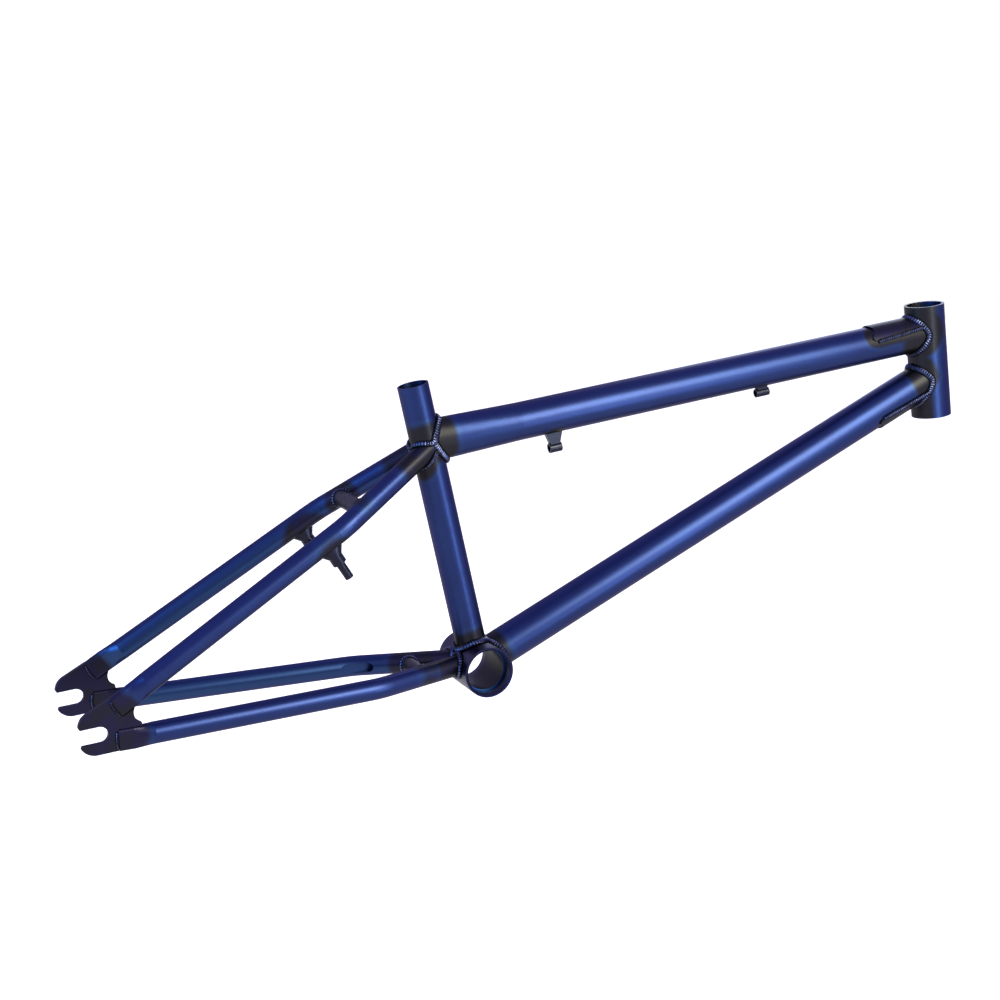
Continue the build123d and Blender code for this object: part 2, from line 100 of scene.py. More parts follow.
def add(tree, kind, inputs=(), **settings):
    """Adds a node with its settings; inputs maps a socket to a value or to another node's output."""
    made = tree.nodes.new(kind)
    for name, value in settings.items():
        setattr(made, name, value)
    for name, value in dict(inputs).items():
        if isinstance(value, bpy.types.NodeSocket):
            tree.links.new(value, made.inputs[name])
        else:
            made.inputs[name].default_value = value
    return made


# ---------------------------------------------------------------- settings
def length_property(name, description, millimetres):
    return bpy.props.FloatProperty(name=name, description=description, default=millimetres * MM,
                                   unit="LENGTH", precision=5)


def colour_property(name, description, hex_colour):
    return bpy.props.FloatVectorProperty(name=name, description=description, subtype="COLOR",
                                         default=linear(hex_colour), min=0, max=1)


class FrameSizes(bpy.types.PropertyGroup):
    main_radius: length_property("Main tube radius", "Top tube and down tube", 17.46)
    seat_radius: length_property("Seat tube radius", "Outside of the seat tube", 14.3)
    head_radius: length_property("Head tube radius", "Outside of the head tube", 19.5)
    shell_radius: length_property("Shell radius", "Outside of the bottom bracket shell", 23.55)
    shell_seat: length_property("Bearing seat radius", "In the shell's mouths", 20.6)
    shell_bore: length_property("Shell bore radius", "Between the bearing seats", 18.8)
    stay_radius: length_property("Stay radius", "Outside of the round stays", 9.525)
    oval_half_height: length_property("Oval half height", "Top tube at the seat tube", 19.4)
    oval_half_width: length_property("Oval half width", "Top tube at the seat tube", 13.7)
    guide_drop: length_property("Guide drop", "Cable guide below the top tube axis", 23.2)
    down_joint_rise: length_property("Down tube joint", "Above the lower headset seat's middle", 31.4)
    bead_leg: length_property("Bead leg", "Weld bead on the main joints", 3.9)
    stay_bead_leg: length_property("Stay bead leg", "Weld bead on the stays", 3.2)
    small_bead_leg: length_property("Small bead leg", "Weld bead on the bridges", 2.1)
    edge_bead_leg: length_property("Edge bead leg", "Weld bead along a gusset's edge", 3.4)
    dropout_bead_leg: length_property("Dropout bead leg", "Weld bead across a stay's flat end", 2.0)
    chain_bridge_radius: length_property("Chain stay bridge radius", "Outside of the bridge", 7.0)
    seat_bridge_radius: length_property("Seat stay bridge radius", "Outside of the bridge", 7.5)
    chain_bridge_x: length_property("Chain stay bridge", "Along the bicycle from the shell", -60.5)
    seat_bridge_x: length_property("Seat stay bridge", "Along the bicycle from the shell", -138.0)
    top_gusset_length: length_property("Top gusset length", "From the head tube axis", 72.5)
    top_gusset_edge: length_property("Top gusset edge", "Above the tube axis at its rear end", 5.9)
    top_gusset_flare: length_property("Top gusset flare", "How much higher at the head", 4.2)
    down_gusset_length: length_property("Down gusset length", "From the head tube axis", 78.5)
    down_gusset_edge: length_property("Down gusset edge", "Below the tube axis at its rear end", 6.6)
    down_gusset_flare: length_property("Down gusset flare", "How much lower at the head", 3.0)
    edge_bead_start: length_property("Edge bead start", "Ahead of a gusset's rear end", 4.0)
    edge_bead_stop: length_property("Edge bead stop", "Behind the head tube axis", 13.0)
    tail_bead_reach: length_property("Dropout bead reach", "Half the bead across a stay's flat end", 8.3)
    dropout_half: length_property("Dropout half thickness", "Half the plate's thickness", 2.5)
    chain_tail: bpy.props.FloatVectorProperty(
        name="Chain stay's flat end", description="Middle of the end face, left side", unit="LENGTH",
        default=(-0.34062, 0.0575, -0.05377))
    seat_tail: bpy.props.FloatVectorProperty(
        name="Seat stay's flat end", description="Middle of the end face, left side", unit="LENGTH",
        default=(-0.34532, 0.0575, -0.02562))
    ripple_pitch: length_property("Ripple pitch", "Spacing of the ripples in a bead", 2.2)
    chain_knee: bpy.props.FloatVectorProperty(
        name="Chain stay knee", description="Bend of the left chain stay's axis", unit="LENGTH",
        default=(-0.1066, 0.0386, -0.01394))
    chain_front: bpy.props.FloatVectorProperty(
        name="Chain stay front", description="Left chain stay's axis at the shell", unit="LENGTH",
        default=(-0.02355, 0.0104, 0.0002))
    seat_knee: bpy.props.FloatVectorProperty(
        name="Seat stay knee", description="Bend of the left seat stay's axis", unit="LENGTH",
        default=(-0.155, 0.0415, 0.1311))
    seat_front: bpy.props.FloatVectorProperty(
        name="Seat stay front", description="Left seat stay's axis at the seat tube", unit="LENGTH",
        default=(-0.0857, 0.0123, 0.1882))


class FinishColours(bpy.types.PropertyGroup):
    candy: colour_property("Candy blue", "Translucent blue over steel", "#153270")
    candy_deep: colour_property("Deep candy blue", "Where the coat lies thicker", "#11235C")
    candy_edge: colour_property("Candy edge", "Colour the coat turns to at a glancing view", "#4A3E8C")
    # Painted sheen: a greener blue painted on the faces turned towards the frame's middle, standing for
    # the cool light that shows there.
    painted_teal_sheen: colour_property("Thin coat", "Greener blue where the coat is thin, inside the rear", "#153C6C")
    scorched: colour_property("Scorched steel", "Steel blackened by welding heat", "#15131C")
    indigo: colour_property("Indigo steel", "Heated plates and flat tails under the coat", "#130F38")
    shell: colour_property("Shell", "Blue-black of the bottom bracket shell", "#17153A")
    # Real heat tint on the tubes, and also the painted highlight on the shell's bearing seat step.
    temper_tint_and_step_highlight: colour_property("Temper blue", "Bright heat tint at the rim of the scorched steel",
                            "#1C4C8C")
    # Painted glints on the weld ripples' crests and painted shade in the valleys between them.
    bead: colour_property("Bead", "Crests of the weld ripples", "#6672A6")
    bead_valley_shade: colour_property("Bead valley", "Soot between the ripples", "#0C0B18")
    floor: colour_property("Floor", "Plain pale floor", "#F7F7F8")


class StudioSettings(bpy.types.PropertyGroup):
    view_azimuth: bpy.props.FloatProperty(name="View azimuth", subtype="ANGLE",
                                          description="Camera round the frame from its right side",
                                          default=math.radians(-21.735))
    view_elevation: bpy.props.FloatProperty(name="View elevation", subtype="ANGLE",
                                            description="Camera above the frame",
                                            default=math.radians(10.914))
    nose_down: bpy.props.FloatProperty(name="Nose down", subtype="ANGLE",
                                       description="How far the frame hangs with its head low",
                                       default=math.radians(6.65))
    view_distance: bpy.props.FloatProperty(name="View distance", description="Camera to its target",
                                           unit="LENGTH", default=1.6348)
    view_target: bpy.props.FloatVectorProperty(
        name="View target", description="Point the camera looks at, frame hanging nose down",
        unit="LENGTH", default=(-0.013636, 0.0, 0.156226))
    focal_length: bpy.props.FloatProperty(name="Focal length", description="On a 36 mm sensor",
                                          default=64.52)
    frame_shift: bpy.props.FloatVectorProperty(
        name="Frame shift", description="Camera shift across and up, in picture widths", size=2,
        default=(0.0381, -0.0006))
    ground_clearance: bpy.props.FloatProperty(
        name="Ground clearance", description="Shell centre above the floor, as on its wheels",
        unit="LENGTH", default=0.29)


# ---------------------------------------------------------------- geometry of the joints
class Line:
    """An axis: a point and a direction."""

    def __init__(self, point, direction):
        self.point = Vector(point)
        self.direction = Vector(direction).normalized()

    def foot(self, point):
        return self.point + self.direction * (point - self.point).dot(self.direction)

    def onto(self, point, radius):
        """The point moved square to the axis until it lies at the radius."""
        foot = self.foot(point)
        return foot + (point - foot).normalized() * radius


def side_line(front, rear):
    """A stay's line in the side view, pointing forward."""
    run = Vector(front) - Vector(rear)
    return Line(front, (run.x, 0, run.z))


def tube_lines():
    """Axes of the tubes, from the frame's mounts and the sizes."""
    sizes = bpy.context.scene.frame_sizes
    head_up = mount_axis("headset_cup_upper")
    top_axis = mount_axis("front_housing_guide")
    top_point = mount_point("front_housing_guide") - hanging(top_axis) * sizes.guide_drop
    down_joint = mount_point("headset_cup_lower") + head_up * sizes.down_joint_rise
    return {
        "shell": Line((0, 0, 0), (0, 1, 0)),
        "seat": Line(mount_point("seat_post"), mount_axis("seat_post")),
        "head": Line(mount_point("headset_cup_upper"), head_up),
        "top": Line(top_point, top_axis),
        "down": Line(down_joint, down_joint),
        "chain": Line(sizes.chain_front, Vector(sizes.chain_knee) - Vector(sizes.chain_front)),
        "seat_stay": Line(sizes.seat_front, Vector(sizes.seat_knee) - Vector(sizes.seat_front)),
        "chain_rear": side_line(sizes.chain_front, sizes.chain_knee),
        "seat_stay_rear": side_line(sizes.seat_front, sizes.seat_knee),
    }


def crossing(first, second):
    """Point of the first axis nearest to the second."""
    a, b = first.direction, second.direction
    gap = first.point - second.point
    dot = a.dot(b)
    along = (dot * b.dot(gap) - a.dot(gap)) / (1 - dot * dot)
    return first.point + a * along


def joint_ring(branch, away, half_height, half_width, main, main_radius, count):
    """Points where a branch tube meets a main tube, with the directions of both surfaces.

    away points out along the branch. Each item is (point, up the branch, along the main tube)."""
    start = crossing(branch, main)
    side = away.cross(main.direction).normalized()
    up = side.cross(away).normalized()
    items = []
    for step in range(count):
        turn = 2 * math.pi * step / count
        offset = side * half_width * math.cos(turn) + up * half_height * math.sin(turn)
        normal = (side * math.cos(turn) / half_width + up * math.sin(turn) / half_height).normalized()
        gap = start + offset - main.point
        flat_gap = gap - main.direction * gap.dot(main.direction)
        flat_away = away - main.direction * away.dot(main.direction)
        half = flat_gap.dot(flat_away)
        square = flat_away.length_squared
        inside = half * half - square * (flat_gap.length_squared - main_radius ** 2)
        along = (-half + math.sqrt(max(inside, 0.0))) / square
        point = start + offset + away * along
        main_normal = (point - main.foot(point)).normalized()
        tangent = normal.cross(main_normal)
        if tangent.length < 0.2:
            tangent = away.cross(normal)
        tangent.normalize()
        climb = tangent.cross(normal).normalized()
        climb = climb if climb.dot(away) > 0 else -climb
        spread = tangent.cross(main_normal).normalized()
        spread = spread if spread.dot(normal) > 0 else -spread
        items.append((point, climb, spread))
    return items


# ---------------------------------------------------------------- weld beads
ACROSS = 9                    # points across a bead
STEPS_PER_RIPPLE = 7
END_STEPS = 6                 # an open bead fades in and out over so many steps
UNEVEN_SIZE = 9.0             # millimetres over which the hand wanders
RIPPLE_BOW = 0.55             # how far a ripple's middle leads its ends, in ripples
RIPPLE_RISE = 0.34            # height of a ripple, as a share of the bead's leg
CROWN_RISE = 0.04             # height of the crown between ripples, likewise
DROPOUT_BEAD_BOW = 1.2 * MM   # a dropout bead's middle lies so far behind its ends


def ripple(phase):
    """Height of a solidified puddle: round back, steep front."""
    part = phase - math.floor(phase)
    return math.sqrt(max(0.0, 1 - part ** 1.7)) if part < 0.93 else (1 - part) / 0.07 * 0.34


def wander(point, size):
    """Slow, seeded unevenness of a hand laid bead."""
    return noise.noise(Vector(point) / (size * MM))


def bead_rows(items, leg, pitch, closed, toe):
    """Rows of points across a bead and how high each lies on its ripple; toe seats the edges."""
    rows = []
    crests = []
    run = 0.0
    for index, (point, climb, spread) in enumerate(items):
        if index:
            run += (point - items[index - 1][0]).length
        end_gap = 1.0 if closed else min(1.0, (index + 1) / END_STEPS,
                                              (len(items) - index) / END_STEPS)
        uneven = wander(point, UNEVEN_SIZE)
        width = leg * (1 + 0.10 * uneven) * end_gap
        crown = (climb + spread).normalized()
        row = []
        crest = []
        for step in range(ACROSS):
            part = step / (ACROSS - 1)
            arch = 4 * part * (1 - part)
            height = ripple(run / pitch + RIPPLE_BOW * arch + 0.25 * uneven)
            bulge = leg * end_gap * (CROWN_RISE * arch + RIPPLE_RISE * height * arch ** 0.5)
            reach = width * (1 + 0.05 * height)
            place = point + climb * reach * (1 - part) + spread * reach * part + crown * bulge
            row.append(place)
            crest.append(height * arch)
        row[0] = toe(row[0], 0)
        row[-1] = toe(row[-1], 1)
        rows.append(row)
        crests.append(crest)
    return rows, crests


def strip_mesh(name, strips):
    """Mesh of one or more strips; each strip is (rows, crests, closed)."""
    points = []
    heights = []
    faces = []
    for rows, crests, closed in strips:
        base = len(points)
        wide = len(rows[0])
        for row, crest in zip(rows, crests):
            points.extend(row)
            heights.extend(crest)
        last = len(rows) if closed else len(rows) - 1
        for i in range(last):
            here = base + i * wide
            there = base + ((i + 1) % len(rows)) * wide
            for j in range(wide - 1):
                faces.append((here + j, here + j + 1, there + j + 1, there + j))
            faces.append((here + wide - 1, here, there, there + wide - 1))
        if not closed:
            faces.append(tuple(base + j for j in reversed(range(wide))))
            faces.append(tuple(base + (len(rows) - 1) * wide + j for j in range(wide)))
    mesh = bpy.data.meshes.new(name)
    mesh.from_pydata([tuple(p) for p in points], [], faces)
    mesh.polygons.foreach_set("use_smooth", [True] * len(mesh.polygons))
    mesh.attributes.new("crest", "FLOAT", "POINT").data.foreach_set("value", heights)
    mesh.update()
    return mesh


def place_piece(name, mesh, material, nodes):
    """Adds a finished piece, riding on the frame and standing for CAD nodes."""
    piece = bpy.data.objects.new(name, mesh)
    bpy.context.scene.collection.objects.link(piece)
    mesh.materials.append(material)
    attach(piece, BODY)
    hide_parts(*nodes)
    return piece


def ring_strips(branch, away, half_height, half_width, main, main_radius, leg, both_sides=False):
    """Strips of a bead that runs round a branch tube on a main tube."""
    pitch = bpy.context.scene.frame_sizes.ripple_pitch
    around = math.pi * (half_height + half_width)
    count = int(around / pitch) * STEPS_PER_RIPPLE
    items = joint_ring(branch, away, half_height, half_width, main, main_radius, count)
    round_branch = abs(half_height - half_width) < 0.01 * MM

    def toe(point, edge):
        if edge:
            return main.onto(point, main_radius - 0.1 * MM)
        return branch.onto(point, half_width - 0.1 * MM) if round_branch else point

    rows, crests = bead_rows(items, leg, pitch, True, toe)
    strips = [(rows, crests, True)]
    if both_sides:
        strips.append(([[mirrored(p) for p in row] for row in rows], crests, True))
    return strips


# ---------------------------------------------------------------- materials
# Object coordinates are metres on the frame, so a pattern's scale comes from its size.
def scale_for(millimetres):
    """Noise scale whose features are about that size."""
    return 1 / (millimetres * MM)


def folded(tree, place):
    """The left side's coordinates, used on both sides."""
    split = add(tree, "ShaderNodeSeparateXYZ", {0: place})
    side = add(tree, "ShaderNodeMath", {0: split.outputs["Y"]}, operation="ABSOLUTE")
    return add(tree, "ShaderNodeCombineXYZ", {"X": split.outputs["X"], "Y": side.outputs[0],
                                              "Z": split.outputs["Z"]}).outputs[0]


def scorch_mask(tree, place, zones):
    """1 inside the heat zones around welds, 0 outside, with a wandering edge.

    A zone is (start, end, radius, softness): all that lies near the line between two points."""
    drift = add(tree, "ShaderNodeTexNoise", {"Vector": place, "Scale": scale_for(30), "Detail": 2.0,
                                             "Roughness": 0.55})
    shift = add(tree, "ShaderNodeMath", {0: drift.outputs[0], 1: 0.5}, operation="SUBTRACT")
    shift = add(tree, "ShaderNodeMath", {0: shift.outputs[0], 1: 9 * MM}, operation="MULTIPLY")
    side = folded(tree, place)
    mask = None
    for start, end, radius, soft in zones:
        run = Vector(end) - Vector(start)
        gone = add(tree, "ShaderNodeVectorMath", {0: side, 1: start}, operation="SUBTRACT")
        if run.length > 0:
            part = add(tree, "ShaderNodeVectorMath", {0: gone.outputs[0], 1: run / run.length_squared},
                       operation="DOT_PRODUCT")
            part = add(tree, "ShaderNodeMath", {0: part.outputs["Value"], 1: 1.0},
                       operation="MULTIPLY", use_clamp=True)
            near = add(tree, "ShaderNodeVectorMath", {0: run, "Scale": part.outputs[0]},
                       operation="SCALE")
            gone = add(tree, "ShaderNodeVectorMath", {0: gone.outputs[0], 1: near.outputs[0]},
                       operation="SUBTRACT")
        gap = add(tree, "ShaderNodeVectorMath", {0: gone.outputs[0]}, operation="LENGTH")
        far = add(tree, "ShaderNodeMath", {0: gap.outputs["Value"], 1: shift.outputs[0]},
                  operation="ADD")
        edge = add(tree, "ShaderNodeMapRange",
                   {"Value": far.outputs[0], "From Min": radius - soft, "From Max": radius + soft,
                    "To Min": 1.0, "To Max": 0.0}, interpolation_type="SMOOTHSTEP")
        if mask is None:
            mask = edge.outputs[0]
        else:
            mask = add(tree, "ShaderNodeMath", {0: mask, 1: edge.outputs[0]},
                       operation="MAXIMUM").outputs[0]
    return mask


def new_material(name):
    made = bpy.data.materials.new(name)
    made.use_nodes = True
    made.node_tree.nodes.clear()
    return made, made.node_tree


def candy_blue_steel(name, zones, burnt_colour):
    """Brushed steel tube under a satin translucent blue: deep blue with a pale broad gleam, a painted
    greener sheen on the sides that face the wheel, burnt to a flat blue-black next to the welds."""
    colours = bpy.context.scene.finish_colours
    material, tree = new_material(name)
    coordinates = add(tree, "ShaderNodeTexCoord")
    place = coordinates.outputs["Object"]
    cloud = add(tree, "ShaderNodeTexNoise", {"Vector": place, "Scale": scale_for(35), "Detail": 3.0})
    # fine flecks of the brushed steel below the coat, drawn at 0.7 mm so that they show
    fleck = add(tree, "ShaderNodeTexNoise", {"Vector": place, "Scale": scale_for(0.7), "Detail": 2.0})
    coat = add(tree, "ShaderNodeMix", {"Factor": cloud.outputs[0], "A": rgba(colours.candy_deep),
                                       "B": rgba(colours.candy)}, data_type="RGBA")
    speck = add(tree, "ShaderNodeMapRange", {"Value": fleck.outputs[0], "From Min": 0.3,
                                             "From Max": 0.7, "To Min": 0.82, "To Max": 1.18})
    side = add(tree, "ShaderNodeSeparateXYZ", {0: place})
    facing = add(tree, "ShaderNodeSeparateXYZ", {0: coordinates.outputs["Normal"]})
    # Painted sheen: faces turned towards the frame's middle plane are mixed towards the greener teal.
    inward = add(tree, "ShaderNodeMath", {0: side.outputs["Y"], 1: facing.outputs["Y"]},
                 operation="MULTIPLY")
    inward_facing = add(tree, "ShaderNodeMapRange", {"Value": inward.outputs[0], "From Min": -4 * MM,
                                            "From Max": -45 * MM})
    coat = add(tree, "ShaderNodeMix", {"Factor": inward_facing.outputs[0], "A": coat.outputs["Result"],
                                       "B": rgba(colours.painted_teal_sheen)}, data_type="RGBA")
    blue = add(tree, "ShaderNodeVectorMath", {0: coat.outputs["Result"], "Scale": speck.outputs[0]},
               operation="SCALE")
    mask = scorch_mask(tree, place, zones) if zones else None
    grain = add(tree, "ShaderNodeTexNoise", {"Vector": place, "Scale": scale_for(1.6), "Detail": 4.0})
    bump = add(tree, "ShaderNodeBump", {"Strength": 0.25, "Distance": 0.05 * MM,
                                        "Height": grain.outputs[0]})
    shader = add(tree, "ShaderNodeBsdfPrincipled",
                 {"Specular Tint": rgba(colours.candy_edge), "Metallic": 1.0, "Roughness": 0.38,
                  "Coat Weight": 0.55, "Coat Roughness": 0.36, "Normal": bump.outputs[0]})
    if mask is None:
        tree.links.new(blue.outputs[0], shader.inputs["Base Color"])
    else:
        clear = add(tree, "ShaderNodeMath", {0: 1.0, 1: mask}, operation="SUBTRACT")
        rim = add(tree, "ShaderNodeMath", {0: clear.outputs[0], 1: mask}, operation="MULTIPLY")
        rim = add(tree, "ShaderNodeMath", {0: rim.outputs[0], 1: 1.9}, operation="MULTIPLY")
        halo = add(tree, "ShaderNodeMix", {"Factor": rim.outputs[0], "A": blue.outputs[0],
                                           "B": rgba(colours.temper_tint_and_step_highlight)}, data_type="RGBA")
        soot = add(tree, "ShaderNodeTexNoise", {"Vector": place, "Scale": scale_for(16), "Detail": 3.0})
        soot = add(tree, "ShaderNodeMapRange", {"Value": soot.outputs[0], "From Min": 0.36,
                                                "From Max": 0.6})
        sooty = add(tree, "ShaderNodeMix", {"Factor": soot.outputs[0], "A": rgba(colours.scorched),
                                            "B": rgba(burnt_colour)}, data_type="RGBA")
        burnt = add(tree, "ShaderNodeMix", {"Factor": mask, "A": halo.outputs["Result"],
                                            "B": sooty.outputs["Result"]}, data_type="RGBA")
        tree.links.new(burnt.outputs["Result"], shader.inputs["Base Color"])
        rough = add(tree, "ShaderNodeMapRange", {"Value": mask, "To Min": 0.38, "To Max": 0.5})
        tree.links.new(rough.outputs[0], shader.inputs["Roughness"])
    add(tree, "ShaderNodeOutputMaterial", {"Surface": shader.outputs[0]})
    return material


def shell_steel():
    """Bottom bracket shell: blue-black scorched outside, a bright blue painted highlight on the step of
    the bearing seat, and rough raw steel in the bore."""
    colours = bpy.context.scene.finish_colours
    sizes = bpy.context.scene.frame_sizes
    material, tree = new_material("scorched_shell_steel")
    place = add(tree, "ShaderNodeTexCoord").outputs["Object"]
    split = add(tree, "ShaderNodeSeparateXYZ", {0: place})
    flat = add(tree, "ShaderNodeCombineXYZ", {"X": split.outputs["X"], "Z": split.outputs["Z"]})
    gap = add(tree, "ShaderNodeVectorMath", {0: flat.outputs[0]}, operation="LENGTH")
    outer = add(tree, "ShaderNodeMath", {0: gap.outputs["Value"], 1: sizes.shell_seat - 0.2 * MM},
                operation="GREATER_THAN")
    # Painted highlight: the step faces between the bore and the bearing seats are painted bright temper
    # blue.
    step = add(tree, "ShaderNodeMath", {0: gap.outputs["Value"], 1: sizes.shell_bore + 0.2 * MM},
               operation="GREATER_THAN")
    soot = add(tree, "ShaderNodeTexNoise", {"Vector": place, "Scale": scale_for(2), "Detail": 5.0,
                                            "Roughness": 0.7})
    raw = add(tree, "ShaderNodeMix", {"Factor": soot.outputs[0], "A": rgba(linear("#0B0B0D")),
                                      "B": rgba(linear("#3A3937"))}, data_type="RGBA")
    step_highlighted = add(tree, "ShaderNodeMix", {"Factor": step.outputs[0], "A": raw.outputs["Result"],
                                         "B": rgba(colours.temper_tint_and_step_highlight)}, data_type="RGBA")
    whole = add(tree, "ShaderNodeMix", {"Factor": outer.outputs[0], "A": step_highlighted.outputs["Result"],
                                        "B": rgba(colours.shell)}, data_type="RGBA")
    rough = add(tree, "ShaderNodeMapRange", {"Value": step.outputs[0], "To Min": 0.7, "To Max": 0.4})
    shader = add(tree, "ShaderNodeBsdfPrincipled",
                 {"Base Color": whole.outputs["Result"], "Metallic": 1.0,
                  "Roughness": rough.outputs[0], "Coat Weight": 0.3, "Coat Roughness": 0.3})
    add(tree, "ShaderNodeOutputMaterial", {"Surface": shader.outputs[0]})
    return material


def lacquered_weld():
    """Rippled weld metal under the blue coat: painted shade between the ripples, painted glints on their
    crests.
    """
    colours = bpy.context.scene.finish_colours
    material, tree = new_material("lacquered_weld")
    place = add(tree, "ShaderNodeTexCoord").outputs["Object"]
    mottle = add(tree, "ShaderNodeTexNoise", {"Vector": place, "Scale": scale_for(5), "Detail": 3.0})
    # Painted glints and shade: ripple crests are painted bright and the valleys between them dark, with
    # a random patchiness.
    crest = add(tree, "ShaderNodeAttribute", attribute_name="crest")
    crest_glint = add(tree, "ShaderNodeMapRange", {"Value": crest.outputs["Fac"], "From Min": 0.5,
                                             "From Max": 1.0})
    patchy = add(tree, "ShaderNodeMapRange", {"Value": mottle.outputs[0], "From Min": 0.35,
                                              "From Max": 0.62, "To Min": 0.3, "To Max": 1.0})
    bright = add(tree, "ShaderNodeMath", {0: crest_glint.outputs[0], 1: patchy.outputs[0]},
                 operation="MULTIPLY")
    tone = add(tree, "ShaderNodeMix", {"Factor": bright.outputs[0], "A": rgba(colours.bead_valley_shade),
                                       "B": rgba(colours.bead)}, data_type="RGBA")
    shader = add(tree, "ShaderNodeBsdfPrincipled",
                 {"Base Color": tone.outputs["Result"], "Metallic": 1.0, "Roughness": 0.3,
                  "Coat Weight": 0.25, "Coat Roughness": 0.2})
    add(tree, "ShaderNodeOutputMaterial", {"Surface": shader.outputs[0]})
    return material


def sooty_bridge(name, centre, radius):
    """Short cross tube burnt right through: matt warm charcoal, with an unlit black bore."""
    material, tree = new_material(f"sooty_{name}_steel")
    place = add(tree, "ShaderNodeTexCoord").outputs["Object"]
    gap = add(tree, "ShaderNodeVectorMath", {0: place, 1: centre}, operation="SUBTRACT")
    flat = add(tree, "ShaderNodeVectorMath", {0: gap.outputs[0], 1: (1, 0, 1)}, operation="MULTIPLY")
    reach = add(tree, "ShaderNodeVectorMath", {0: flat.outputs[0]}, operation="LENGTH")
    outside = add(tree, "ShaderNodeMath", {0: reach.outputs["Value"], 1: radius - 0.3 * MM},
                  operation="GREATER_THAN")
    mottle = add(tree, "ShaderNodeTexNoise", {"Vector": place, "Scale": scale_for(7), "Detail": 4.0})
    tone = add(tree, "ShaderNodeMix", {"Factor": mottle.outputs[0], "A": rgba(linear("#262428")),
                                       "B": rgba(linear("#5C585C"))}, data_type="RGBA")
    whole = add(tree, "ShaderNodeMix", {"Factor": outside.outputs[0], "A": rgba(linear("#020203")),
                                        "B": tone.outputs["Result"]}, data_type="RGBA")
    shader = add(tree, "ShaderNodeBsdfPrincipled",
                 {"Base Color": whole.outputs["Result"], "Metallic": 1.0, "Roughness": 0.5})
    add(tree, "ShaderNodeOutputMaterial", {"Surface": shader.outputs[0]})
    return material


def scorched_fitting():
    """Small machined steel fittings, burnt dark and lacquered: charcoal with a faint blue gleam."""
    colours = bpy.context.scene.finish_colours
    material, tree = new_material("scorched_fitting_steel")
    place = add(tree, "ShaderNodeTexCoord").outputs["Object"]
    mottle = add(tree, "ShaderNodeTexNoise", {"Vector": place, "Scale": scale_for(6), "Detail": 3.0})
    tone = add(tree, "ShaderNodeMix", {"Factor": mottle.outputs[0], "A": rgba(colours.scorched),
                                       "B": rgba(linear("#22253C"))}, data_type="RGBA")
    shader = add(tree, "ShaderNodeBsdfPrincipled",
                 {"Base Color": tone.outputs["Result"], "Metallic": 1.0, "Roughness": 0.42,
                  "Coat Weight": 0.4, "Coat Roughness": 0.25})
    add(tree, "ShaderNodeOutputMaterial", {"Surface": shader.outputs[0]})
    return material


def pale_floor():
    """Matt white studio floor."""
    material, tree = new_material("pale_floor")
    shader = add(tree, "ShaderNodeBsdfPrincipled",
                 {"Base Color": rgba(bpy.context.scene.finish_colours.floor), "Roughness": 0.9})
    add(tree, "ShaderNodeOutputMaterial", {"Surface": shader.outputs[0]})
    return material


